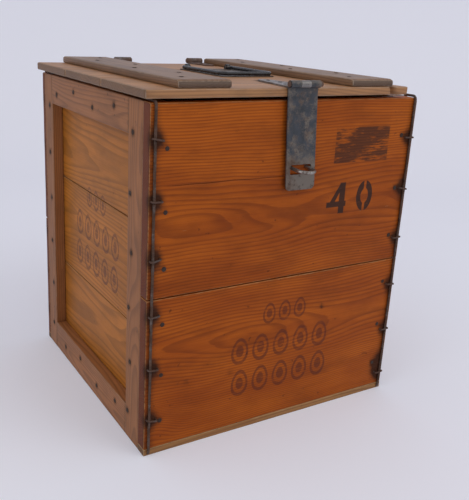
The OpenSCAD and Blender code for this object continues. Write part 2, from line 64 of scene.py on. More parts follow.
class Value:
    """A number in a node tree, so that a pattern can be written as its formula."""

    def __init__(self, tree, socket):
        self.tree = tree
        self.socket = socket

    def feed(self, target):
        self.tree.links.new(self.socket, target)

    def math(self, operation, *others):
        node = self.tree.nodes.new("ShaderNodeMath")
        node.operation = operation
        for i, item in enumerate((self,) + others):
            give(self.tree, item, node.inputs[i])
        return Value(self.tree, node.outputs[0])

    def __add__(self, other):
        return self.math("ADD", other)

    def __radd__(self, other):
        return self.math("ADD", other)

    def __sub__(self, other):
        return self.math("SUBTRACT", other)

    def __rsub__(self, other):
        return number(self.tree, other).math("SUBTRACT", self)

    def __mul__(self, other):
        return self.math("MULTIPLY", other)

    def __rmul__(self, other):
        return self.math("MULTIPLY", other)

    def __truediv__(self, other):
        return self.math("DIVIDE", other)

    def __neg__(self):
        return self.math("MULTIPLY", -1.0)

    def power(self, other):
        return self.math("POWER", other)

    def most(self, other):
        return self.math("MAXIMUM", other)

    def least(self, other):
        return self.math("MINIMUM", other)

    def size(self):
        return self.math("ABSOLUTE")

    def rest(self):
        return self.math("FRACT")

    def sine(self):
        return self.math("SINE")

    def clear(self):
        """The value held between 0 and 1."""
        node = self.tree.nodes.new("ShaderNodeClamp")
        give(self.tree, self, node.inputs[0])
        return Value(self.tree, node.outputs[0])

    def between(self, low, high):
        """0 below low and 1 above high, with a smooth step; low may be the larger."""
        node = self.tree.nodes.new("ShaderNodeMapRange")
        node.interpolation_type = "SMOOTHSTEP"
        give(self.tree, self, node.inputs["Value"])
        give(self.tree, low, node.inputs["From Min"])
        give(self.tree, high, node.inputs["From Max"])
        return Value(self.tree, node.outputs["Result"])


def give(tree, item, target):
    """Links a value or a socket to an input, or sets the input to a constant."""
    if isinstance(item, Value):
        tree.links.new(item.socket, target)
    elif isinstance(item, bpy.types.NodeSocket):
        tree.links.new(item, target)
    elif target.type == "RGBA" and len(item) == 3:
        target.default_value = (*item, 1.0)
    else:
        target.default_value = item


def number(tree, amount):
    node = tree.nodes.new("ShaderNodeValue")
    node.outputs[0].default_value = amount
    return Value(tree, node.outputs[0])


def split(tree, vector):
    node = tree.nodes.new("ShaderNodeSeparateXYZ")
    give(tree, vector, node.inputs[0])
    return [Value(tree, out) for out in node.outputs]


def join(tree, x, y, z):
    node = tree.nodes.new("ShaderNodeCombineXYZ")
    for item, target in zip((x, y, z), node.inputs):
        give(tree, item, target)
    return node.outputs[0]


def grainy(tree, vector, scale, detail=3.0, roughness=0.5, stretch=(1, 1, 1)):
    """Noise from 0 to 1 about 0.5, finer where stretch is larger."""
    node = tree.nodes.new("ShaderNodeVectorMath")
    node.operation = "MULTIPLY"
    give(tree, vector, node.inputs[0])
    node.inputs[1].default_value = stretch
    field = tree.nodes.new("ShaderNodeTexNoise")
    tree.links.new(node.outputs[0], field.inputs["Vector"])
    field.inputs["Scale"].default_value = scale
    field.inputs["Detail"].default_value = detail
    field.inputs["Roughness"].default_value = roughness
    return Value(tree, field.outputs[0])


def blend(tree, amount, first, second):
    """Colour first where amount is 0 and second where it is 1."""
    node = tree.nodes.new("ShaderNodeMix")
    node.data_type = "RGBA"
    give(tree, amount, node.inputs["Factor"])
    give(tree, first, node.inputs[6])
    give(tree, second, node.inputs[7])
    return node.outputs[2]


def new_group(name, inputs, outputs):
    """An empty shader group; inputs and outputs are (name, kind, default)."""
    tree = bpy.data.node_groups.new(name, "ShaderNodeTree")
    kinds = {"value": "NodeSocketFloat", "colour": "NodeSocketColor", "vector": "NodeSocketVector"}
    for label, kind, default in inputs:
        socket = tree.interface.new_socket(label, in_out="INPUT", socket_type=kinds[kind])
        if default is not None:
            socket.default_value = default
    for label, kind in outputs:
        tree.interface.new_socket(label, in_out="OUTPUT", socket_type=kinds[kind])
    entry = tree.nodes.new("NodeGroupInput")
    leave = tree.nodes.new("NodeGroupOutput")
    return tree, {s.name: Value(tree, s) for s in entry.outputs if s.name}, leave.inputs


def use_group(tree, name, **values):
    node = tree.nodes.new("ShaderNodeGroup")
    node.node_tree = bpy.data.node_groups[name]
    for label, item in values.items():
        give(tree, item, node.inputs[label.replace("_", " ")])
    return {s.name: Value(tree, s) for s in node.outputs}


# ---------------------------------------------------------------- shader groups

def make_pine_group():
    """Growth rings round a pith that wanders, with knots and fine fibres.

    Grain is the board's own place: along the grain, across and deep, measured from its pith."""
    tree, given, out = new_group(
        "Pine grain",
        [("Grain", "vector", None), ("Ring width", "value", 0.003), ("Wander", "value", 0.012),
         ("Knot size", "value", 0.006)],
        [("Late wood", "value"), ("Fibre", "value"), ("Knot", "value"), ("Tone", "value"), ("Height", "value")])
    grain = given["Grain"].socket
    along, across, deep = split(tree, grain)
    drift = grainy(tree, grain, 1.0, 2.0, 0.5, (3.2, 5.0, 5.0))
    drift_deep = grainy(tree, grain, 1.0, 2.0, 0.5, (2.3, 9.0, 9.0))
    cells = tree.nodes.new("ShaderNodeTexVoronoi")
    cells.inputs["Scale"].default_value = 1.0
    cells.inputs["Randomness"].default_value = 1.0
    give(tree, join(tree, along * 5.0, across * 8.5, deep * 1.5), cells.inputs["Vector"])
    from_knot = Value(tree, cells.outputs["Distance"]) * 0.13
    chosen = split(tree, cells.outputs["Color"])[0].between(0.52, 0.56)
    knot = from_knot.between(given["Knot size"] * 1.15, given["Knot size"] * 0.85) * chosen
    swirl = from_knot.between(0.034, 0.0) * chosen
    moved = across + (drift - 0.5) * given["Wander"] * 2.0
    sunk = deep + (drift_deep - 0.5) * given["Wander"] * 4.0
    radius = (moved * moved + sunk * sunk).power(0.5) + swirl * 0.012
    fine = grainy(tree, grain, 1.0, 3.0, 0.55, (7.0, 90.0, 90.0))
    turn = (radius / given["Ring width"] + (fine - 0.5) * 0.55).rest()
    late = turn.between(0.35, 0.86) * turn.between(1.0, 0.93)
    fibre = grainy(tree, grain, 1.0, 4.0, 0.6, (14.0, 900.0, 900.0))
    tone = grainy(tree, grain, 1.0, 4.0, 0.6, (6.0, 22.0, 22.0))
    late = late * (0.55 + fine * 0.9)
    (late * (1.0 - knot)).clear().feed(out["Late wood"])
    fibre.feed(out["Fibre"])
    knot.feed(out["Knot"])
    tone.feed(out["Tone"])
    (late * 0.5 + fibre * 0.35 - knot * 0.6).feed(out["Height"])


def make_age_group():
    """Scuffs on edges, grime, stains round iron and small bruises, from the mesh's own wear and stain; the stain also
    holds painted shadow beside the hasp plate and hasp leaf.
    """
    tree, given, out = new_group(
        "Handled wood",
        [("Grain", "vector", None), ("Wear", "value", 0.0), ("Stain", "value", 0.0), ("Age", "value", 0.5)],
        [("Scuff", "value"), ("Grime", "value"), ("Stain", "value"), ("Bruise", "value")])
    grain = given["Grain"].socket
    broad = grainy(tree, grain, 1.0, 4.0, 0.62, (16.0, 38.0, 38.0))
    close = grainy(tree, grain, 1.0, 4.0, 0.7, (90.0, 260.0, 260.0))
    streak = grainy(tree, grain, 1.0, 3.0, 0.6, (24.0, 320.0, 320.0))
    edge = given["Wear"] * (0.4 + close * 1.2)
    spots = (close * 0.55 + streak * 0.45).between(0.64, 0.70) * broad.between(0.5, 0.66)
    (edge.between(0.62, 0.92) + spots * given["Age"]).clear().feed(out["Scuff"])
    cloud = broad.between(0.44, 0.74)
    (cloud * given["Age"] + given["Wear"] * 0.35).clear().feed(out["Grime"])
    (given["Stain"] * (0.45 + broad * 1.1)).between(0.12, 0.85).feed(out["Stain"])
    pit = grainy(tree, grain, 1.0, 2.0, 0.5, (120.0, 150.0, 150.0))
    pit.between(0.70, 0.78).feed(out["Bruise"])


def make_rust_group():
    """Patches of rust on iron, in place on the piece."""
    tree, given, out = new_group(
        "Old iron",
        [("Place", "vector", None), ("Amount", "value", 0.5), ("Grain size", "value", 0.006)],
        [("Rust", "value"), ("Speck", "value"), ("Shade", "value"), ("Height", "value")])
    place = given["Place"].socket
    node = tree.nodes.new("ShaderNodeVectorMath")
    node.operation = "SCALE"
    give(tree, place, node.inputs[0])
    give(tree, number(tree, 1.0) / given["Grain size"], node.inputs["Scale"])
    scaled = node.outputs[0]
    patch = grainy(tree, scaled, 0.35, 5.0, 0.62)
    speck = grainy(tree, scaled, 2.4, 4.0, 0.7)
    level = 1.0 - given["Amount"]
    rust = (patch * 0.72 + speck * 0.28 - level * 0.5).between(0.16, 0.34)
    rust.feed(out["Rust"])
    speck.between(0.56, 0.68).feed(out["Speck"])
    grainy(tree, scaled, 0.8, 3.0, 0.5).feed(out["Shade"])
    (rust * 0.6 + speck * 0.4).feed(out["Height"])


def make_marks_group():
    """Worn stencilled marks: a bank of egg shapes, a square of ink and the plain number 40."""
    tree, given, out = new_group(
        "Stencilled marks",
        [("Across", "value", 0.0), ("Up", "value", 0.0), ("Grain", "vector", None)],
        [("Egg bank", "value"), ("Ink", "value")])
    across, up = given["Across"], given["Up"]
    worn = grainy(tree, given["Grain"].socket, 1.0, 5.0, 0.72, (60.0, 420.0, 420.0))
    soft = grainy(tree, given["Grain"].socket, 1.0, 3.0, 0.6, (30.0, 60.0, 60.0))
    fray = (soft - 0.5) * 0.16

    def eggs(centre_x, centre_z, pitch, count, tall):
        place = (across - centre_x) / pitch + count * 0.5
        cell = place.rest() - 0.5
        inside = ((across - centre_x) / (pitch * count * 0.5)).size().between(1.0, 0.995)
        height = (up - centre_z) / (tall * 0.5)
        wide = 0.40 - height * 0.055
        shape = (cell * cell) / (wide * wide) + height * height
        ring = (shape + fray).between(1.04, 0.94) * (shape + fray).between(0.50, 0.60)
        yolk = (shape + fray).between(0.22, 0.16)
        return (ring + yolk) * inside

    bank = eggs(0.002, 0.103, 0.029, 5.0, 0.034) + eggs(0.004, 0.062, 0.029, 5.0, 0.034)
    small = eggs(0.004, 0.144, 0.022, 3.0, 0.026)
    lost = worn.between(0.28, 0.50)
    ((bank + small) * lost).clear().feed(out["Egg bank"])

    def bar(x, z, half_x, half_z):
        a = ((across - x).size() - half_x) / 0.0008
        b = ((up - z).size() - half_z) / 0.0008
        return (a.most(b) + fray * 6.0).between(1.0, -1.0)

    four = bar(0.0735, 0.2735, 0.0042, 0.0185) + bar(0.0655, 0.2665, 0.0145, 0.0032)
    slant = across - 0.0575 - (up - 0.2665) * 0.62
    four = four + (slant.size() / 0.0034 + fray * 3.0).between(1.1, 0.8) * bar(0.0655, 0.2795, 0.02, 0.0115)
    dx = (across - 0.108) / 0.0125
    dz = (up - 0.2735) / 0.0185
    shape = dx * dx + dz * dz
    nought = (shape + fray).between(1.04, 0.95) * (shape + fray).between(0.18, 0.28)
    nought = nought * ((across - 0.108).size() / 0.0016).between(0.9, 1.3)
    patch = bar(0.0965, 0.3355, 0.0405, 0.0205) * (soft * 0.5 + worn * 0.5).between(0.40, 0.52)
    ((four + nought) * worn.between(0.20, 0.38) + patch * 0.82).clear().feed(out["Ink"])


# ---------------------------------------------------------------- materials

def start_material(name):
    material = bpy.data.materials.new(name)
    material.use_nodes = True
    tree = material.node_tree
    shader = tree.nodes["Principled BSDF"]
    return material, tree, shader


def relief(tree, shader, height, strength, distance):
    bump = tree.nodes.new("ShaderNodeBump")
    bump.inputs["Strength"].default_value = strength
    bump.inputs["Distance"].default_value = distance
    give(tree, height, bump.inputs["Height"])
    tree.links.new(bump.outputs[0], shader.inputs["Normal"])


def read(tree, name, kind="Fac"):
    node = tree.nodes.new("ShaderNodeAttribute")
    node.attribute_name = name
    return node.outputs[kind]


def pine(name, light, middle, dark, worn, age=0.5, ring=0.003, gloss=0.4, coat=0.25, knot=0.006,
         shine=0.5, lines=0.5, marks=None):
    """Old pine: light and dark wood of the rings, worn where it is handled, under what is left of its varnish."""
    material, tree, shader = start_material(name)
    grain = read(tree, "grain", "Vector")
    wear = Value(tree, read(tree, "wear"))
    stain_and_shade = Value(tree, read(tree, "stain_and_shade"))
    wood = use_group(tree, "Pine grain", Grain=grain, Ring_width=ring, Knot_size=knot)
    old = use_group(tree, "Handled wood", Grain=grain, Wear=wear, Stain=stain_and_shade, Age=age)
    colour = blend(tree, wood["Tone"].between(0.28, 0.72), middle, light)
    colour = blend(tree, (wood["Late wood"] * lines).clear(), colour, dark)
    colour = blend(tree, wood["Fibre"].between(0.42, 0.8) * 0.28, colour, dark)
    colour = blend(tree, wood["Knot"] * 0.8, colour, tuple(c * 0.35 for c in dark))
    colour = blend(tree, old["Grime"] * 0.5, colour, tuple(c * 0.42 for c in middle))
    ends = Value(tree, read(tree, "end"))
    colour = blend(tree, ends * 0.75, colour, tuple(c * 0.5 for c in dark))
    if marks:
        place = tree.nodes.new("ShaderNodeTexCoord").outputs["Object"]
        x, y, z = split(tree, place)
        facing = split(tree, tree.nodes.new("ShaderNodeNewGeometry").outputs["Normal"])
        if marks == "front":
            print_x, print_z, side = x, z, y.between(-0.160, -0.1615)
        else:
            print_x, print_z = y * 1.0 - 0.006, (z - 0.187) * 1.0 + 0.084
            side = x.between(-0.155, -0.158)
        printed = use_group(tree, "Stencilled marks", Across=print_x, Up=print_z, Grain=grain)
        colour = blend(tree, printed["Egg bank"] * side * 0.62, colour, (0.085, 0.018, 0.010))
        if marks == "front":
            colour = blend(tree, printed["Ink"] * side * 0.9, colour, (0.022, 0.013, 0.010))
    colour = blend(tree, old["Scuff"] * 0.55, colour, worn)
    colour = blend(tree, old["Bruise"] * 0.5, colour, tuple(c * 0.3 for c in dark))
    # Darkens where the stain mask is set: real iron stains, with painted shadow beside the hasp plate and hasp leaf on
    # the front and lid.
    colour = blend(tree, old["Stain"] * 0.88, colour, (0.020, 0.013, 0.010))
    give(tree, colour, shader.inputs["Base Color"])
    rough = (gloss + old["Scuff"] * 0.3 + old["Stain"] * 0.25 + wood["Fibre"] * 0.12).clear()
    give(tree, rough, shader.inputs["Roughness"])
    give(tree, ((1.0 - old["Scuff"]) * (1.0 - old["Stain"]) * coat).clear(), shader.inputs["Coat Weight"])
    shader.inputs["Coat Roughness"].default_value = 0.28
    shader.inputs["Specular IOR Level"].default_value = shine
    height = wood["Height"] * 0.8 - old["Bruise"] * 0.8 - old["Scuff"] * 0.4
    relief(tree, shader, height, 0.55, 0.0005)
    return material


def iron(name, base, rusty, amount, rough=0.5, metal=0.85, grain_size=0.006):
    """Bare iron with rust in patches and a few bright rubs."""
    material, tree, shader = start_material(name)
    place = tree.nodes.new("ShaderNodeTexCoord").outputs["Object"]
    old = use_group(tree, "Old iron", Place=place, Amount=amount, Grain_size=grain_size)
    colour = blend(tree, old["Shade"].between(0.3, 0.7), tuple(c * 0.62 for c in base), base)
    colour = blend(tree, old["Rust"], colour, rusty)
    colour = blend(tree, old["Speck"] * 0.6, colour, tuple(c * 0.4 for c in rusty))
    give(tree, colour, shader.inputs["Base Color"])
    give(tree, (metal - old["Rust"] * metal * 0.85).clear(), shader.inputs["Metallic"])
    give(tree, (rough + old["Rust"] * 0.3 + old["Speck"] * 0.1).clear(), shader.inputs["Roughness"])
    relief(tree, shader, old["Height"], 0.6, 0.0004)
    return material


def painted(name, paint, bare, amount, rough=0.32, down=None):
    """Painted iron, the paint chipped to metal and rust; down is a height below which it has worn off."""
    material, tree, shader = start_material(name)
    place = tree.nodes.new("ShaderNodeTexCoord").outputs["Object"]
    chips = use_group(tree, "Old iron", Place=place, Amount=amount, Grain_size=0.0045)
    rust = use_group(tree, "Old iron", Place=place, Amount=0.45, Grain_size=0.010)
    x, y, z = split(tree, place)
    gone = chips["Rust"]
    if down:
        lower = (z + (rust["Shade"] - 0.5) * 0.035).between(down + 0.006, down - 0.006)
        gone = gone.most(lower)
    metal = blend(tree, rust["Rust"], bare, (0.105, 0.060, 0.038))
    metal = blend(tree, rust["Speck"] * 0.5, metal, (0.03, 0.02, 0.016))
    coat = blend(tree, rust["Shade"].between(0.3, 0.7), paint, tuple(c * 1.9 + 0.004 for c in paint))
    coat = blend(tree, rust["Speck"] * 0.35, coat, (0.12, 0.10, 0.085))
    give(tree, blend(tree, gone, coat, metal), shader.inputs["Base Color"])
    give(tree, (gone * 0.75 * (1.0 - rust["Rust"] * 0.7)).clear(), shader.inputs["Metallic"])
    give(tree, (rough + gone * 0.16 + rust["Speck"] * 0.15).clear(), shader.inputs["Roughness"])
    relief(tree, shader, (1.0 - gone) * 0.7 + rust["Height"] * 0.3, 0.6, 0.0003)
    return material


# ---------------------------------------------------------------- boards

def steps(length, cell, radius):
    """Places of mesh lines along an edge: close at both ends, even between."""
    ends = [0.0, 0.3 * radius, radius, 1.9 * radius]
    middle = length - 2 * ends[-1]
    count = max(1, round(middle / cell))
    return ends + [ends[-1] + middle * i / count for i in range(1, count)] + [length - e for e in reversed(ends)]


def box_faces(lines, merge_into):
    """Quads over the surface of a box that has the given mesh lines along each axis."""
    points, faces, known = merge_into
    last = [len(axis) - 1 for axis in lines]

    def corner(index):
        if index not in known:
            known[index] = len(points)
            points.append(Vector([lines[k][index[k]] for k in range(3)]))
        return known[index]

    for axis in range(3):
        u, v = (axis + 1) % 3, (axis + 2) % 3
        for end in (0, last[axis]):
            for i in range(last[u]):
                for j in range(last[v]):
                    ring = []
                    for a, b in ((0, 0), (1, 0), (1, 1), (0, 1)):
                        index = [0, 0, 0]
                        index[axis], index[u], index[v] = end, i + a, j + b
                        ring.append(corner(tuple(index)))
                    faces.append(ring if end else ring[::-1])


def hash_seed(text):
    return sum((i + 1) * ord(c) for i, c in enumerate(text)) % 997 / 97.0


def worn_board(name, blocks, grain, material, radius=1.2 * MM, wear=0.8, iron_stains_and_shade=(), shape=None,
               extra=None, pith=(0.012, -0.055), cell=4.6 * MM, hollow=0.12 * MM):
    """A board with worn edges and a slightly uneven face, all of it inside the sawn blocks that it stands for."""
    points, faces = [], []
    lows, highs, owner = [], [], []
    for low, high in blocks:
        lines = []
        for k in range(3):
            own = [low[k] + s for s in steps(high[k] - low[k], cell, radius)]
            more = [v for v in (extra or {}).get(k, ()) if low[k] + radius < v < high[k] - radius]
            if more:
                gap = min(b - a for a, b in zip(sorted(more), sorted(more)[1:])) if len(more) > 1 else cell
                own = [v for v in own if all(abs(v - m) > min(gap, cell * 0.4) for m in more)] + more
            lines.append(sorted(own))
        before = len(points)
        box_faces(lines, (points, faces, {}))
        owner += [(low, high)] * (len(points) - before)
    seed = hash_seed(name)
    u, v = [k for k in range(3) if k != grain]
    whole_low = [min(b[0][k] for b in blocks) for k in range(3)]
    whole_high = [max(b[1][k] for b in blocks) for k in range(3)]
    wide, thin = (u, v) if whole_high[u] - whole_low[u] > whole_high[v] - whole_low[v] else (v, u)
    attributes = {"wear": [], "stain_and_shade": [], "end": []}
    places = []
    for i, p in enumerate(points):
        low, high = owner[i]
        at = p.copy()
        rough = noise.noise(Vector((p.x, p.y, p.z)) * 28 + Vector((seed, 0, 0))) * 0.5 + 0.5
        fine = noise.noise(Vector((p.x, p.y, p.z)) * 95 + Vector((0, seed, 0))) * 0.5 + 0.5
        turn = radius * min(1.0, 0.35 + wear * (rough * 0.9 + fine * 0.5)) if wear else radius
        middle = Vector([min(max(at[k], low[k] + turn), high[k] - turn) for k in range(3)])
        off = at - middle
        if off.length > turn:
            at = middle + off.normalized() * turn
        for k in range(3):
            if abs(p[k] - low[k]) < 1e-7 or abs(p[k] - high[k]) < 1e-7:
                inward = 1.0 if abs(p[k] - low[k]) < 1e-7 else -1.0
                at[k] += inward * hollow * (rough * 0.8 + fine * 0.4)
        near = sorted(min(p[k] - low[k], high[k] - p[k]) for k in range(3))
        attributes["wear"].append(math.exp(-near[1] / (2.2 * MM)))
        end_gap = min(p[grain] - whole_low[grain], whole_high[grain] - p[grain])
        attributes["end"].append(1.0 if end_gap < 1e-6 else math.exp(-end_gap / (1.0 * MM)) * 0.5)
        # Darkening round iron: real iron stains, and on the front and lid boards also painted shadow beside the hasp
        # plate and hasp leaf.
        spot = 0.0
        for centre, reach, strength in iron_stains_and_shade:
            d = (p - centre).length
            if d < reach * 3:
                spot += strength * math.exp(-(d / reach) ** 2)
        attributes["stain_and_shade"].append(min(1.0, spot))
        if shape:
            at = shape(p, at)
        points[i] = at
        places.append((p[grain] + seed, p[wide] - (whole_low[wide] + whole_high[wide]) / 2 + pith[0],
                       p[thin] - (whole_low[thin] + whole_high[thin]) / 2 + pith[1]))
    mesh = bpy.data.meshes.new(name)
    mesh.from_pydata([tuple(p) for p in points], [], faces)
    mesh.update()
    for label, values in attributes.items():
        data = mesh.attributes.new(label, "FLOAT", "POINT").data
        data.foreach_set("value", values)
    data = mesh.attributes.new("grain", "FLOAT_VECTOR", "POINT").data
    data.foreach_set("vector", [c for place in places for c in place])
    mesh.shade_smooth()
    mesh.materials.append(material)
    piece = bpy.data.objects.new(name, mesh)
    bpy.context.scene.collection.objects.link(piece)
    return piece


def cad_piece(node):
    piece = frame["nodes"][node]
    return bpy.data.objects[piece] if isinstance(piece, str) else piece


def islands(node):
    """Lowest and highest corner of each separate solid in a CAD node."""
    mesh = cad_piece(node).data
    key = {}
    parent = []

    def root(i):
        while parent[i] != i:
            parent[i] = parent[parent[i]]
            i = parent[i]
        return i

    ids = []
    for vertex in mesh.vertices:
        k = tuple(round(c * 1e6) for c in vertex.co)
        if k not in key:
            key[k] = len(parent)
            parent.append(key[k])
        ids.append(key[k])
    for polygon in mesh.polygons:
        first = root(ids[polygon.vertices[0]])
        for index in polygon.vertices[1:]:
            parent[root(ids[index])] = first
    found = {}
    for k, i in key.items():
        co = Vector(k) * 1e-6
        low, high = found.setdefault(root(i), [co.copy(), co.copy()])
        for axis in range(3):
            low[axis] = min(low[axis], co[axis])
            high[axis] = max(high[axis], co[axis])
    return sorted(([low, high] for low, high in found.values()), key=lambda pair: tuple(pair[0]))


# The side that each group of nails is driven from
NAIL_SIDES = {
    "left_frame_nails": (X, -1), "right_frame_nails": (X, 1), "front_nails": (Y, -1), "back_nails": (Y, 1),
    "bottom_nails": (Z, -1), "hinge_back_nails": (Y, 1), "cleat_nails": (Z, 1), "hinge_lid_nails": (Z, 1),
    "hasp_leaf_nails": (Z, 1), "handle_nails": (Z, 1),
}


def heads(node):
    """Centre of each nail head's top in a CAD node."""
    axis, side = NAIL_SIDES[node]
    found = []
    for low, high in islands(node):
        centre = (low + high) / 2
        centre[axis] = high[axis] if side > 0 else low[axis]
        found.append(centre)
    return found


def stains_of(nodes, reach, strength):
    marks = []
    for node in nodes:
        if node in NAIL_SIDES:
            marks += [(c, reach, strength) for c in heads(node)]
        else:
            for low, high in islands(node):
                marks.append(((low + high) / 2, reach, strength))
    return marks


def wire_run(node, reach, strength, gap=14 * MM):
    """Marks all down an upright wire."""
    low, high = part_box(node)
    count = int((high.z - low.z) / gap)
    x = (low.x + high.x) / 2
    y = low.y if low.y < 0 else high.y
    return [(Vector((x, y, low.z + i * gap)), reach, strength) for i in range(count + 1)]


# ---------------------------------------------------------------- geometry node trees

def start_tree(name, inputs):
    tree = bpy.data.node_groups.new(name, "GeometryNodeTree")
    tree.interface.new_socket("Geometry", in_out="INPUT", socket_type="NodeSocketGeometry")
    for label, kind, default in inputs:
        socket = tree.interface.new_socket(label, in_out="INPUT", socket_type=kind)
        if default is not None:
            socket.default_value = default
    tree.interface.new_socket("Geometry", in_out="OUTPUT", socket_type="NodeSocketGeometry")
    return tree, tree.nodes.new("NodeGroupInput"), tree.nodes.new("NodeGroupOutput")


def make_wire_tree():
    """Sweeps a round wire along the edges of a mesh, with rounded bends and a slight waver."""
    tree, entry, leave = start_tree("Bent wire", [
        ("Wire radius", "NodeSocketFloat", 0.0015), ("Bend radius", "NodeSocketFloat", 0.004),
        ("Waver", "NodeSocketFloat", 0.0004), ("Seed", "NodeSocketInt", 3), ("Material", "NodeSocketMaterial", None)])
    nodes, links = tree.nodes, tree.links
    curve = nodes.new("GeometryNodeMeshToCurve")
    links.new(entry.outputs["Geometry"], curve.inputs[0])
    fillet = nodes.new("GeometryNodeFilletCurve")
    if "Mode" in fillet.inputs:
        fillet.inputs["Mode"].default_value = "Poly"
    else:
        fillet.mode = "POLY"
    fillet.inputs["Count"].default_value = 5
    fillet.inputs["Limit Radius"].default_value = True
    links.new(curve.outputs[0], fillet.inputs[0])
    links.new(entry.outputs["Bend radius"], fillet.inputs["Radius"])
    place = nodes.new("GeometryNodeInputPosition")
    shift = nodes.new("ShaderNodeCombineXYZ")
    links.new(entry.outputs["Seed"], shift.inputs[0])
    moved = nodes.new("ShaderNodeVectorMath")
    links.new(place.outputs[0], moved.inputs[0])
    links.new(shift.outputs[0], moved.inputs[1])
    field = nodes.new("ShaderNodeTexNoise")
    field.inputs["Scale"].default_value = 38.0
    field.inputs["Detail"].default_value = 1.0
    links.new(moved.outputs[0], field.inputs["Vector"])
    centred = nodes.new("ShaderNodeVectorMath")
    centred.operation = "SUBTRACT"
    links.new(field.outputs["Color"], centred.inputs[0])
    centred.inputs[1].default_value = (0.5, 0.5, 0.5)
    sized = nodes.new("ShaderNodeVectorMath")
    sized.operation = "SCALE"
    links.new(centred.outputs[0], sized.inputs[0])
    links.new(entry.outputs["Waver"], sized.inputs["Scale"])
    wander = nodes.new("GeometryNodeSetPosition")
    links.new(fillet.outputs[0], wander.inputs["Geometry"])
    links.new(sized.outputs[0], wander.inputs["Offset"])
    ring = nodes.new("GeometryNodeCurvePrimitiveCircle")
    ring.inputs["Resolution"].default_value = 10
    links.new(entry.outputs["Wire radius"], ring.inputs["Radius"])
    sweep = nodes.new("GeometryNodeCurveToMesh")
    sweep.inputs["Fill Caps"].default_value = True
    links.new(wander.outputs[0], sweep.inputs["Curve"])
    links.new(ring.outputs[0], sweep.inputs["Profile Curve"])
    smooth = nodes.new("GeometryNodeSetShadeSmooth")
    links.new(sweep.outputs[0], smooth.inputs[0])
    real = nodes.new("GeometryNodeRealizeInstances")
    links.new(smooth.outputs[0], real.inputs[0])
    finish = nodes.new("GeometryNodeSetMaterial")
    links.new(real.outputs[0], finish.inputs[0])
    links.new(entry.outputs["Material"], finish.inputs["Material"])
    links.new(finish.outputs[0], leave.inputs[0])
    return tree


def make_nail_tree():
    """Puts a hammered nail head on every point, turned and sized at random from a fixed seed."""
    tree, entry, leave = start_tree("Driven nails", [
        ("Head radius", "NodeSocketFloat", 0.0029), ("Head height", "NodeSocketFloat", 0.0007),
        ("Lean", "NodeSocketFloat", 0.06), ("Seed", "NodeSocketInt", 7), ("Axis", "NodeSocketVector", None),
        ("Material", "NodeSocketMaterial", None)])
    nodes, links = tree.nodes, tree.links
    disc = nodes.new("GeometryNodeMeshCone")
    disc.inputs["Vertices"].default_value = 20
    disc.inputs["Side Segments"].default_value = 1
    disc.inputs["Fill Segments"].default_value = 3
    links.new(entry.outputs["Head radius"], disc.inputs["Radius Bottom"])
    top = nodes.new("ShaderNodeMath")
    top.operation = "MULTIPLY"
    links.new(entry.outputs["Head radius"], top.inputs[0])
    top.inputs[1].default_value = 0.82
    links.new(top.outputs[0], disc.inputs["Radius Top"])
    links.new(entry.outputs["Head height"], disc.inputs["Depth"])
    place = nodes.new("GeometryNodeInputPosition")
    field = nodes.new("ShaderNodeTexNoise")
    field.inputs["Scale"].default_value = 420.0
    links.new(place.outputs[0], field.inputs["Vector"])
    down = nodes.new("ShaderNodeMapRange")
    links.new(field.outputs[0], down.inputs["Value"])
    down.inputs["From Min"].default_value = 0.3
    down.inputs["From Max"].default_value = 0.7
    down.inputs["To Min"].default_value = -0.00028
    down.inputs["To Max"].default_value = 0.0
    dent = nodes.new("ShaderNodeCombineXYZ")
    links.new(down.outputs[0], dent.inputs[2])
    hammered = nodes.new("GeometryNodeSetPosition")
    links.new(disc.outputs["Mesh"], hammered.inputs["Geometry"])
    links.new(dent.outputs[0], hammered.inputs["Offset"])
    points = nodes.new("GeometryNodeMeshToPoints")
    links.new(entry.outputs["Geometry"], points.inputs["Mesh"])
    turn = nodes.new("FunctionNodeAlignRotationToVector")
    turn.axis = "Z"
    links.new(entry.outputs["Axis"], turn.inputs["Vector"])
    lean = nodes.new("FunctionNodeRandomValue")
    lean.data_type = "FLOAT_VECTOR"
    negative = nodes.new("ShaderNodeMath")
    negative.operation = "MULTIPLY"
    negative.inputs[1].default_value = -1.0
    links.new(entry.outputs["Lean"], negative.inputs[0])
    for source, target in ((negative.outputs[0], lean.inputs["Min"]), (entry.outputs["Lean"], lean.inputs["Max"])):
        full = nodes.new("ShaderNodeCombineXYZ")
        links.new(source, full.inputs[0])
        links.new(source, full.inputs[1])
        full.inputs[2].default_value = 3.0
        links.new(full.outputs[0], target)
    links.new(entry.outputs["Seed"], lean.inputs["Seed"])
    place_heads = nodes.new("GeometryNodeInstanceOnPoints")
    links.new(points.outputs[0], place_heads.inputs["Points"])
    links.new(hammered.outputs[0], place_heads.inputs["Instance"])
    links.new(turn.outputs[0], place_heads.inputs["Rotation"])
    tilt = nodes.new("GeometryNodeRotateInstances")
    links.new(place_heads.outputs[0], tilt.inputs["Instances"])
    links.new(lean.outputs["Value"], tilt.inputs["Rotation"])
    size = nodes.new("FunctionNodeRandomValue")
    size.inputs[2].default_value = 0.86
    size.inputs[3].default_value = 1.0
    links.new(entry.outputs["Seed"], size.inputs["Seed"])
    scaled = nodes.new("GeometryNodeScaleInstances")
    links.new(tilt.outputs[0], scaled.inputs["Instances"])
    links.new(size.outputs[1], scaled.inputs["Scale"])
    real = nodes.new("GeometryNodeRealizeInstances")
    links.new(scaled.outputs[0], real.inputs[0])
    finish = nodes.new("GeometryNodeSetMaterial")
    links.new(real.outputs[0], finish.inputs[0])
    links.new(entry.outputs["Material"], finish.inputs["Material"])
    links.new(finish.outputs[0], leave.inputs[0])
    return tree


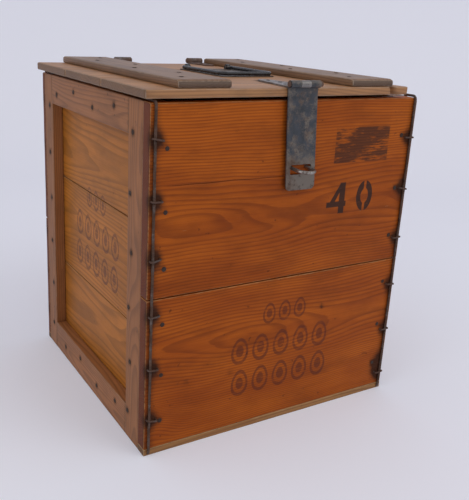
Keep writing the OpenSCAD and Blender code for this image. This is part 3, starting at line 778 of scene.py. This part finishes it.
def grown(name, points, edges, tree, values):
    """Runs a geometry tree on points and edges, and keeps the result as a plain mesh."""
    seed_mesh = bpy.data.meshes.new(name + "_path")
    seed_mesh.from_pydata([tuple(p) for p in points], edges, [])
    holder = bpy.data.objects.new(name + "_path", seed_mesh)
    bpy.context.scene.collection.objects.link(holder)
    modifier = holder.modifiers.new("grow", "NODES")
    modifier.node_group = tree
    for item in tree.interface.items_tree:
        if item.item_type == "SOCKET" and item.in_out == "INPUT" and item.name in values:
            modifier[item.identifier] = values[item.name]
    holder.update_tag()
    graph = bpy.context.evaluated_depsgraph_get()
    mesh = bpy.data.meshes.new_from_object(holder.evaluated_get(graph))
    mesh.name = name
    holder.modifiers.remove(modifier)
    bpy.data.objects.remove(holder)
    bpy.data.meshes.remove(seed_mesh)
    if not len(mesh.polygons):
        raise RuntimeError(name + " came out empty")
    if not mesh.materials or mesh.materials[0] is None:
        mesh.materials.clear()
        mesh.materials.append(values["Material"])
    piece = bpy.data.objects.new(name, mesh)
    bpy.context.scene.collection.objects.link(piece)
    return piece


def settle(piece, body, slot, *nodes):
    """Rides the piece on its body and hides the CAD nodes that it stands for."""
    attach(piece, body)
    if nodes:
        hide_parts(*nodes)


def dress(node, material):
    """Gives a CAD node that stays its finish."""
    piece = cad_piece(node)
    if piece.material_slots:
        for slot in piece.material_slots:
            slot.material = material
    else:
        piece.data.materials.append(material)


def mat(name):
    return bpy.data.materials[name]


# ---------------------------------------------------------------- settings

class CrateWood(bpy.types.PropertyGroup):
    """Sizes and colours of the boards."""
    edge_radius: FloatProperty(name="Edge radius", description="Largest radius that wear has put on an edge",
                               default=1.2 * MM, min=0.3 * MM, max=3 * MM, unit="LENGTH", precision=4)
    top_radius: FloatProperty(name="Top edge radius", description="Radius of the edges that the wires bend round",
                              default=3.0 * MM, min=1 * MM, max=6 * MM, unit="LENGTH", precision=4)
    cell: FloatProperty(name="Mesh spacing", description="Distance between mesh lines on a board",
                        default=4.6 * MM, min=2 * MM, max=20 * MM, unit="LENGTH", precision=4)
    hollow: FloatProperty(name="Hollows", description="Depth of the faces' slight hollows",
                          default=0.12 * MM, min=0.0, max=0.5 * MM, unit="LENGTH", precision=5)
    front_light: FloatVectorProperty(name="Front, light", description="Light wood of the front boards",
                                     default=(0.49, 0.114, 0.007), subtype="COLOR", size=3)
    front_middle: FloatVectorProperty(name="Front, middle", description="Usual colour of the front boards",
                                      default=(0.325, 0.064, 0.004), subtype="COLOR", size=3)
    front_dark: FloatVectorProperty(name="Front, dark", description="Late wood of the front boards",
                                    default=(0.135, 0.023, 0.003), subtype="COLOR", size=3)
    end_middle: FloatVectorProperty(name="End boards", description="Usual colour of the end boards",
                                    default=(0.39, 0.135, 0.017), subtype="COLOR", size=3)
    frame_middle: FloatVectorProperty(name="End frames", description="Usual colour of the stiles and rails",
                                      default=(0.31, 0.120, 0.040), subtype="COLOR", size=3)
    lid_middle: FloatVectorProperty(name="Lid", description="Usual colour of the lid boards",
                                    default=(0.39, 0.180, 0.066), subtype="COLOR", size=3)


class CrateIron(bpy.types.PropertyGroup):
    """Sizes and colours of the nails, wires and ironwork."""
    head_radius: FloatProperty(name="Nail head radius", description="Radius of a frame nail's head",
                               default=2.9 * MM, min=1 * MM, max=5 * MM, unit="LENGTH", precision=4)
    head_height: FloatProperty(name="Nail head height", description="Height of a nail head above the wood",
                               default=0.7 * MM, min=0.2 * MM, max=2 * MM, unit="LENGTH", precision=4)
    lean: FloatProperty(name="Nail lean", description="How far a nail head may tip to either side",
                        default=0.05, min=0.0, max=0.2, unit="ROTATION")
    wire_radius: FloatProperty(name="Wire radius", description="Radius of the corner wires",
                               default=1.5 * MM, min=0.8 * MM, max=3 * MM, unit="LENGTH", precision=4)
    staple_radius: FloatProperty(name="Staple radius", description="Radius of the staples over the wires",
                                 default=1.0 * MM, min=0.5 * MM, max=2 * MM, unit="LENGTH", precision=4)
    waver: FloatProperty(name="Waver", description="How far a wire strays from straight",
                         default=0.9 * MM, min=0.0, max=3 * MM, unit="LENGTH", precision=4)
    rust: FloatVectorProperty(name="Rust", description="Colour of the rust",
                              default=(0.085, 0.040, 0.024), subtype="COLOR", size=3)
    paint: FloatVectorProperty(name="Hasp paint", description="Colour of what is left of the hasp's paint",
                               default=(0.017, 0.021, 0.028), subtype="COLOR", size=3)
    seed: IntProperty(name="Seed", description="Seed of everything random in the nails and wires", default=11, min=0)


class CrateStage(bpy.types.PropertyGroup):
    """Camera, floor and lights."""
    floor: FloatVectorProperty(name="Floor", description="Colour of the floor and backdrop",
                               default=(0.78, 0.785, 0.86), subtype="COLOR", size=3)
    glow: FloatProperty(name="Paper glow", description="How much paler the floor and backdrop look",
                        default=0.18, min=0.0)
    key: FloatProperty(name="Key light", description="Power of the large light on the right", default=9.0,
                       min=0.0, unit="POWER")
    fill: FloatProperty(name="Fill light", description="Power of the large light on the left", default=5.0,
                        min=0.0, unit="POWER")
    sky: FloatProperty(name="Sky", description="Strength of the even light from all round", default=0.62, min=0.0)


# ---------------------------------------------------------------- operators

class CRATE_OT_finishes(bpy.types.Operator):
    """Make the shader groups and the materials"""
    bl_idname = "crate.finishes"
    bl_label = "Finishes"

    def execute(self, context):
        wood, metal = context.scene.crate_wood, context.scene.crate_iron
        make_pine_group()
        make_age_group()
        make_rust_group()
        make_marks_group()
        light, middle, dark = (tuple(c) for c in (wood.front_light, wood.front_middle, wood.front_dark))
        end, rim, lid = (tuple(c) for c in (wood.end_middle, wood.frame_middle, wood.lid_middle))
        worn = (0.56, 0.33, 0.15)
        pine("front_pine", light, middle, dark, worn, age=0.7, ring=0.0027, gloss=0.42, coat=0.05,
             shine=0.12, lines=0.46, marks="front")
        pine("end_pine", tuple(c * 1.35 for c in end), end, tuple(c * 0.5 for c in end), (0.42, 0.26, 0.15),
             age=0.7, ring=0.0040, gloss=0.46, coat=0.06, shine=0.22, marks="end")
        pine("frame_pine", tuple(c * 1.3 for c in rim), rim, tuple(c * 0.48 for c in rim), (0.36, 0.24, 0.17),
             age=0.75, ring=0.0026, gloss=0.48, coat=0.06, shine=0.28)
        pine("lid_pine", tuple(c * 1.3 for c in lid), lid, tuple(c * 0.5 for c in lid), (0.46, 0.36, 0.28),
             age=0.85, ring=0.0036, gloss=0.5, coat=0.12)
        pine("cleat_pine", (0.29, 0.155, 0.075), (0.215, 0.110, 0.050), (0.10, 0.045, 0.020), (0.44, 0.34, 0.26),
             age=0.8, ring=0.0030, gloss=0.48, coat=0.15)
        pine("bottom_pine", (0.42, 0.20, 0.06), (0.33, 0.14, 0.035), (0.16, 0.06, 0.015), (0.5, 0.34, 0.18),
             age=0.5, ring=0.0034, gloss=0.55, coat=0.0)
        rust = tuple(metal.rust)
        iron("wire_iron", (0.16, 0.13, 0.12), rust, 0.62, 0.42, 0.8, 0.004)
        iron("nail_iron", (0.055, 0.042, 0.036), tuple(c * 0.45 for c in rust), 0.55, 0.5, 0.6, 0.003)
        iron("hinge_iron", (0.22, 0.19, 0.18), (0.13, 0.070, 0.048), 0.58, 0.42, 0.8, 0.007)
        iron("leaf_iron", (0.30, 0.28, 0.27), (0.15, 0.10, 0.075), 0.42, 0.4, 0.8, 0.007)
        iron("staple_iron", (0.42, 0.40, 0.38), (0.12, 0.075, 0.05), 0.34, 0.3, 0.95, 0.005)
        iron("handle_plate_iron", (0.17, 0.155, 0.145), (0.10, 0.065, 0.045), 0.5, 0.45, 0.7, 0.012)
        painted("hasp_paint", tuple(metal.paint), (0.19, 0.16, 0.135), 0.44, 0.34, down=0.328)
        painted("handle_paint", (0.010, 0.010, 0.012), (0.22, 0.21, 0.20), 0.22, 0.26)
        return {"FINISHED"}


class CRATE_OT_front_and_back(bpy.types.Operator):
    """Make the boards of the front and the back, with the front's split and worn corner"""
    bl_idname = "crate.front_and_back"
    bl_label = "Front and back boards"

    def execute(self, context):
        wood = context.scene.crate_wood
        marks = stains_of(["front_nails", "back_nails"], 4 * MM, 0.5)
        marks += stains_of(["front_wire_staples", "back_wire_staples"], 10 * MM, 0.75)
        for node in ("front_left_wire", "front_right_wire", "back_left_wire", "back_right_wire"):
            marks += wire_run(node, 8.5 * MM, 0.46)
        # Painted shadow: a dark streak down the front board along the hasp plate's left edge, where the plate casts
        # its shadow; it darkens the wood through the same channel as the iron stains.
        low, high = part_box("hasp_plate")
        for i in range(11):
            marks.append((Vector((low.x + 2 * MM + i * 0.7 * MM, low.y + 9 * MM, high.z - i * 11 * MM)), 6 * MM, 0.5))
        marks.append((Vector((0.1665, -0.167, 0.036)), 16 * MM, 0.8))
        marks.append((Vector((-0.068, -0.167, 0.0795)), 7 * MM, 0.45))
        marks.append((Vector((0.060, -0.167, 0.139)), 4 * MM, 0.8))
        marks.append((Vector((-0.1255, -0.167, 0.0807)), 3.2 * MM, 0.9))
        split_line = 0.3055
        extra = [split_line + d * MM for d in (-4, -1.6, -0.45, 0, 0.45, 1.6, 4)]

        def upper_shape(front_side, corner):
            low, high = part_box("front_upper_board" if front_side else "back_upper_board")

            def shape(p, at):
                across = p.x - low.x
                if front_side:
                    line = split_line + 0.0001 + 0.0055 * min(1.0, max(0.0, (p.x + 0.02) / 0.16)) ** 1.2
                    line += noise.noise(Vector((p.x * 32, 0, 4.1))) * 0.0012
                    fall = max(0.0, 1.0 - abs(p.z - split_line) / 0.028)
                    at.z += (line - split_line) * fall
                    if abs(p.y - low.y) < 1e-6 and abs(p.z - split_line) < 0.1 * MM:
                        ends = min(1.0, max(0.0, (p.x + 0.158) / 0.02)) * min(1.0, max(0.0, (0.045 - p.x) / 0.05))
                        at.y += 3.2 * MM * ends
                edge_y = low.y if front_side else high.y
                turn = wood.top_radius
                y_in = abs(at.y - edge_y)
                z_in = high.z - at.z
                if y_in < turn and z_in < turn:
                    d = math.hypot(turn - y_in, turn - z_in)
                    if d > turn:
                        sign = 1 if front_side else -1
                        at.y = edge_y + sign * (turn - (turn - y_in) / d * turn)
                        at.z = high.z - (turn - (turn - z_in) / d * turn)
                if corner:
                    x_in, z_in = high.x - at.x, high.z - at.z
                    if x_in < corner and z_in < corner:
                        d = math.hypot(corner - x_in, corner - z_in)
                        if d > corner:
                            at.x = high.x - (corner - (corner - x_in) / d * corner)
                            at.z = high.z - (corner - (corner - z_in) / d * corner)
                return at
            return shape

        for node, front_side, upper in (("front_upper_board", True, True), ("front_lower_board", True, False),
                                        ("back_upper_board", False, True), ("back_lower_board", False, False)):
            low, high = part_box(node)
            more = {}
            if upper:
                more = {Z: [high.z - 2.2 * MM, high.z - 4.4 * MM] + (extra if front_side else [])}
                if front_side:
                    more[X] = [high.x - d * MM for d in (3.4, 5.0, 7.0)]
            piece = worn_board(
                node.replace("_board", "_plank"), [(low, high)], X, mat("front_pine"), wood.edge_radius, 0.75, marks,
                upper_shape(front_side, 7 * MM if front_side else 0) if upper else None, more,
                pith=(0.02 if upper else -0.03, -0.05 if upper else -0.036), cell=wood.cell, hollow=wood.hollow)
            settle(piece, "crate", "front_board_wood", node)
        return {"FINISHED"}


class CRATE_OT_end_frames(bpy.types.Operator):
    """Make the stiles and rails of the two end frames"""
    bl_idname = "crate.end_frames"
    bl_label = "End frames"

    def execute(self, context):
        wood = context.scene.crate_wood
        for side in ("left", "right"):
            marks = stains_of([side + "_frame_nails"], 5.5 * MM, 0.8)
            for part, grain in (("front_stile", Z), ("back_stile", Z), ("top_rail", Y), ("bottom_rail", Y)):
                node = side + "_" + part
                piece = worn_board(node + "_batten", [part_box(node)], grain, mat("frame_pine"), wood.edge_radius, 0.9,
                                   marks, pith=(0.010, 0.030), cell=wood.cell * 0.85, hollow=wood.hollow)
                settle(piece, "crate", "frame_wood", node)
        return {"FINISHED"}


class CRATE_OT_end_boards(bpy.types.Operator):
    """Make the boards that close the two ends"""
    bl_idname = "crate.end_boards"
    bl_label = "End boards"

    def execute(self, context):
        wood = context.scene.crate_wood
        for side in ("left", "right"):
            for i, part in enumerate(("upper_panel", "middle_panel", "lower_panel")):
                node = side + "_" + part
                piece = worn_board(node + "_plank", [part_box(node)], Y, mat("end_pine"), wood.edge_radius * 0.8, 0.7, (),
                                   pith=(0.015 - 0.02 * i, 0.045 + 0.01 * i), cell=wood.cell * 1.2, hollow=wood.hollow)
                settle(piece, "crate", "end_board_wood", node)
        return {"FINISHED"}


class CRATE_OT_bottom_boards(bpy.types.Operator):
    """Make the three bottom boards"""
    bl_idname = "crate.bottom_boards"
    bl_label = "Bottom boards"

    def execute(self, context):
        wood = context.scene.crate_wood
        marks = stains_of(["bottom_nails"], 5 * MM, 0.6)
        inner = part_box("bottom_middle_board")
        front_low, front_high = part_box("bottom_front_board")
        back_low, back_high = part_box("bottom_back_board")
        front_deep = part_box("front_lower_board")[1].y
        back_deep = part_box("back_lower_board")[0].y
        blocks = {
            "bottom_front_board": [
                (front_low, Vector((front_high.x, front_deep, front_high.z))),
                (Vector((inner[0].x, front_deep, front_low.z)), Vector((inner[1].x, front_high.y, front_high.z)))],
            "bottom_middle_board": [inner],
            "bottom_back_board": [
                (Vector((back_low.x, back_deep, back_low.z)), back_high),
                (Vector((inner[0].x, back_low.y, back_low.z)), Vector((inner[1].x, back_deep, back_high.z)))],
        }
        for node, pair in blocks.items():
            piece = worn_board(node.replace("_board", "_plank"), pair, X, mat("bottom_pine"), 0.8 * MM, 0.6, marks,
                               pith=(0.01, -0.04), cell=wood.cell * 1.3, hollow=wood.hollow * 0.5)
            settle(piece, "crate", "bottom_board_wood", node)
        return {"FINISHED"}


class CRATE_OT_lid(bpy.types.Operator):
    """Make the lid boards, with the chip in the front edge, and the two cleats"""
    bl_idname = "crate.lid"
    bl_label = "Lid boards and cleats"

    def execute(self, context):
        wood = context.scene.crate_wood
        marks = stains_of(["hasp_leaf_nails", "hinge_lid_nails", "handle_nails"], 5 * MM, 0.6)
        # Painted shadow: dark marks on the lid under and beside the hasp leaf, where the leaf casts its shadow; they
        # darken the wood through the same channel as the iron stains.
        low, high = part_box("hasp_leaf")
        for i in range(12):
            marks.append((Vector(((low.x + high.x) / 2, low.y + 10 * MM + i * 7 * MM, low.z)), 11 * MM, 0.4))
        front_low, front_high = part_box("lid_front_board")
        chip = front_high.x - 25 * MM

        def chipped(p, at):
            away = (p.x - chip - (front_high.z - p.z) * 0.35) / (4.6 * MM)
            if abs(away) < 1:
                at.y += (1 - away * away) ** 0.5 * 9 * MM * max(0.0, 1 - (p.y - front_low.y) / (16 * MM))
            return at

        for node in ("lid_front_board", "lid_middle_board", "lid_back_board"):
            is_front = node == "lid_front_board"
            more = {X: [chip + d * MM for d in (-4.8, -4.0, -2.6, -1.2, 0, 1.2, 2.6, 4.0, 5.4, 7.0)],
                    Y: [front_low.y + d * MM for d in (6, 9, 13)]} if is_front else {}
            piece = worn_board(node.replace("_board", "_plank"), [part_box(node)], X, mat("lid_pine"),
                               2.4 * MM, 0.7, marks, chipped if is_front else None, more,
                               pith=(0.02, -0.06), cell=wood.cell, hollow=wood.hollow)
            settle(piece, "lid", "lid_board_wood", node)
        marks = stains_of(["cleat_nails"], 6 * MM, 0.7)
        for node in ("left_cleat", "right_cleat"):
            low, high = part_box(node)

            def rounded(p, at, low=low, high=high):
                turn = 6.5 * MM
                for edge, sign in ((low.y, 1), (high.y, -1)):
                    y_in, z_in = (at.y - edge) * sign, high.z - at.z
                    if y_in < turn and z_in < turn:
                        d = math.hypot(turn - y_in, turn - z_in)
                        if d > turn:
                            at.y = edge + sign * (turn - (turn - y_in) / d * turn)
                            at.z = high.z - (turn - (turn - z_in) / d * turn)
                return at

            more = {Y: [low.y + 5 * MM, low.y + 7.5 * MM, high.y - 5 * MM, high.y - 7.5 * MM]}
            piece = worn_board(node + "_batten", [(low, high)], Y, mat("cleat_pine"), 1.9 * MM, 0.85, marks, rounded,
                               more, pith=(0.012, -0.05), cell=wood.cell, hollow=wood.hollow)
            settle(piece, "lid", "cleat_wood", node)
        return {"FINISHED"}


class CRATE_OT_nails(bpy.types.Operator):
    """Drive the nails, one mesh for each group of like nails"""
    bl_idname = "crate.nails"
    bl_label = "Nails"

    def execute(self, context):
        metal = context.scene.crate_iron
        tree = make_nail_tree()
        bodies = frame["record"]["behaviour"]["bodies"]
        for i, (node, (axis, side)) in enumerate(NAIL_SIDES.items()):
            direction = [0.0, 0.0, 0.0]
            direction[axis] = float(side)
            centres = heads(node)
            small = 2.6 * MM if node.startswith(("hinge", "hasp")) else metal.head_radius
            seat = metal.head_height + metal.lean * small
            base = [centre - Vector(direction) * seat for centre in centres]
            piece = grown(node + "_heads", base, [], tree, {
                "Head radius": small, "Head height": metal.head_height, "Lean": metal.lean, "Seed": metal.seed + i,
                "Axis": direction, "Material": mat("nail_iron")})
            body = next(b for b, nodes in bodies.items() if node in nodes)
            settle(piece, body, "nail_steel", node)
        return {"FINISHED"}


class CRATE_OT_corner_wires(bpy.types.Operator):
    """Bend the four corner wires and the staples that hold them"""
    bl_idname = "crate.corner_wires"
    bl_label = "Corner wires and staples"

    def execute(self, context):
        metal = context.scene.crate_iron
        tree = make_wire_tree()
        for i, node in enumerate(("front_left_wire", "front_right_wire", "back_left_wire", "back_right_wire")):
            low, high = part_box(node)
            r = metal.wire_radius
            x = (low.x + high.x) / 2
            front_side = low.y < 0
            out_y = low.y + r if front_side else high.y - r
            in_y = high.y - r if front_side else low.y + r
            path = [Vector((x, in_y, high.z - r)), Vector((x, out_y, high.z - r))]
            count = 46
            top, foot = high.z - r, low.z + r + metal.waver / 2
            path += [Vector((x, out_y, top + (foot - top) * k / count)) for k in range(1, count)]
            path += [Vector((x, out_y, foot)), Vector((x, in_y, foot))]
            edges = [(k, k + 1) for k in range(len(path) - 1)]
            piece = grown(node.replace("_wire", "_binding"), path, edges, tree, {
                "Wire radius": r, "Bend radius": 4.4 * MM, "Waver": metal.waver, "Seed": metal.seed + i,
                "Material": mat("wire_iron")})
            settle(piece, "crate", "rusty_wire", node)
        for node in ("front_wire_staples", "back_wire_staples"):
            path, edges = [], []
            for k, (low, high) in enumerate(islands(node)):
                r = metal.staple_radius
                front_side = low.y < 0
                out_y = low.y + r if front_side else high.y - r
                in_y = high.y if front_side else low.y
                z = (low.z + high.z) / 2
                skew = noise.noise(Vector((k * 3.7, 1.3 if front_side else 7.1, 0))) * 2.4 * MM
                start = len(path)
                inset = r + 0.2 * MM
                path += [Vector((low.x + inset, in_y, z)), Vector((low.x + inset, out_y, z + skew)),
                         Vector((high.x - inset, out_y, z - skew)), Vector((high.x - inset, in_y, z))]
                edges += [(start + n, start + n + 1) for n in range(3)]
            piece = grown(node.replace("wire_staples", "crown_staples"), path, edges, tree, {
                "Wire radius": metal.staple_radius, "Bend radius": 1.6 * MM, "Waver": 0.3 * MM,
                "Seed": metal.seed, "Material": mat("wire_iron")})
            settle(piece, "crate", "rusty_wire", node)
        return {"FINISHED"}


class CRATE_OT_ironwork(bpy.types.Operator):
    """Finish the hasp, its staple, the hinges and the lid handle"""
    bl_idname = "crate.ironwork"
    bl_label = "Hasp, hinges and handle"

    def execute(self, context):
        finishes = {
            "hasp_plate": "hasp_paint", "hasp_pin": "hinge_iron", "hasp_leaf": "leaf_iron",
            "hasp_staple": "staple_iron", "left_hinge_back_leaf": "hinge_iron", "right_hinge_back_leaf": "hinge_iron",
            "left_hinge_lid_leaf": "hinge_iron", "right_hinge_lid_leaf": "hinge_iron", "hinge_pins": "hinge_iron",
            "handle_base": "handle_plate_iron", "handle_lugs": "handle_paint", "handle_bail": "handle_paint",
        }
        for node, finish in finishes.items():
            dress(node, mat(finish))
        return {"FINISHED"}


class CRATE_OT_stage(bpy.types.Operator):
    """Set the camera, the floor with its backdrop, and the lights"""
    bl_idname = "crate.stage"
    bl_label = "Stage"

    def execute(self, context):
        scene = context.scene
        stage = scene.crate_stage
        turn, tip, roll = math.radians(30.9284), math.radians(17.2873), math.radians(2.7277)
        ahead = Vector((math.sin(turn) * math.cos(tip), math.cos(turn) * math.cos(tip), -math.sin(tip)))
        right = Vector((math.cos(turn), -math.sin(turn), 0))
        up = right.cross(ahead)
        right, up = right * math.cos(roll) + up * math.sin(roll), up * math.cos(roll) - right * math.sin(roll)
        data = bpy.data.cameras.new("camera")
        data.sensor_width = 36.0
        data.lens = 685.13 / 500 * 36.0
        data.shift_x = (234.5 - 206.97) / 500
        data.shift_y = (233.16 - 250.0) / 500
        data.clip_start, data.clip_end = 0.05, 20
        camera = bpy.data.objects.new("camera", data)
        pose = Matrix((right, up, -ahead)).transposed().to_4x4()
        pose.translation = Vector((-0.4597, -0.7547, 0.4648))
        camera.matrix_world = pose
        scene.collection.objects.link(camera)
        scene.camera = camera

        material, tree, shader = start_material("stage_paper")
        shader.inputs["Base Color"].default_value = (*stage.floor, 1)
        shader.inputs["Roughness"].default_value = 0.95
        shader.inputs["Specular IOR Level"].default_value = 0.1
        shader.inputs["Emission Color"].default_value = (*stage.floor, 1)
        rays = tree.nodes.new("ShaderNodeLightPath").outputs
        seen = Value(tree, rays["Is Camera Ray"]).most(Value(tree, rays["Is Glossy Ray"]))
        seen = seen.most(Value(tree, rays["Is Transmission Ray"])) * stage.glow
        give(tree, seen, shader.inputs["Emission Strength"])
        profile = [(-3.2, 0.0), (1.1, 0.0)]
        profile += [(1.1 + 0.7 * math.sin(a * math.pi / 24), 0.7 - 0.7 * math.cos(a * math.pi / 24)) for a in range(1, 13)]
        profile += [(1.8, 2.8)]
        tilt = Matrix.Rotation(-turn, 4, "Z")
        points, faces = [], []
        for y, z in profile:
            points += [tilt @ Vector((-4, y, z)), tilt @ Vector((4, y, z))]
        for i in range(len(profile) - 1):
            faces.append((2 * i, 2 * i + 1, 2 * i + 3, 2 * i + 2))
        mesh = bpy.data.meshes.new("stage_sweep")
        mesh.from_pydata([tuple(p) for p in points], [], faces)
        mesh.shade_smooth()
        mesh.materials.append(material)
        sweep = bpy.data.objects.new("stage_sweep", mesh)
        scene.collection.objects.link(sweep)

        world = bpy.data.worlds.new("even_light")
        world.use_nodes = True
        world.node_tree.nodes["Background"].inputs["Color"].default_value = (0.97, 0.97, 1.0, 1)
        world.node_tree.nodes["Background"].inputs["Strength"].default_value = stage.sky
        scene.world = world
        target = Vector((0, 0, 0.2))
        for name, place, size, power in (("key_light", (0.9, -1.5, 1.9), 1.6, stage.key),
                                         ("fill_light", (-1.9, -0.6, 1.3), 1.8, stage.fill)):
            lamp = bpy.data.lights.new(name, "AREA")
            lamp.shape = "DISK"
            lamp.size = size
            lamp.energy = power
            holder = bpy.data.objects.new(name, lamp)
            holder.location = place
            holder.rotation_mode = "QUATERNION"
            holder.rotation_quaternion = (target - Vector(place)).to_track_quat("-Z", "Y")
            scene.collection.objects.link(holder)
        scene.view_settings.view_transform = "Standard"
        return {"FINISHED"}


class CRATE_PT_panel(bpy.types.Panel):
    """The crate's settings and steps"""
    bl_idname = "CRATE_PT_panel"
    bl_label = "Egg crate"
    bl_space_type = "VIEW_3D"
    bl_region_type = "UI"
    bl_category = "Crate"

    def draw(self, context):
        for title, group in (("Wood", context.scene.crate_wood), ("Iron", context.scene.crate_iron),
                             ("Stage", context.scene.crate_stage)):
            box = self.layout.box()
            box.label(text=title)
            for key in group.bl_rna.properties.keys():
                if key not in ("rna_type", "name"):
                    box.prop(group, key)
        for step in STEPS:
            self.layout.operator(step.bl_idname)


STEPS = (CRATE_OT_finishes, CRATE_OT_stage, CRATE_OT_front_and_back, CRATE_OT_end_frames, CRATE_OT_end_boards,
         CRATE_OT_bottom_boards, CRATE_OT_lid, CRATE_OT_nails, CRATE_OT_corner_wires, CRATE_OT_ironwork)
GROUPS = {"crate_wood": CrateWood, "crate_iron": CrateIron, "crate_stage": CrateStage}


def register():
    for item in (*GROUPS.values(), *STEPS, CRATE_PT_panel):
        bpy.utils.register_class(item)
    for name, group in GROUPS.items():
        setattr(bpy.types.Scene, name, PointerProperty(type=group))


def unregister():
    for name in GROUPS:
        delattr(bpy.types.Scene, name)
    for item in reversed((*GROUPS.values(), *STEPS, CRATE_PT_panel)):
        bpy.utils.unregister_class(item)


def main():
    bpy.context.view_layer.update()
    register()
    for step in STEPS:
        group, name = step.bl_idname.split(".")
        getattr(getattr(bpy.ops, group), name)()


if __name__ == "__main__":
    main()
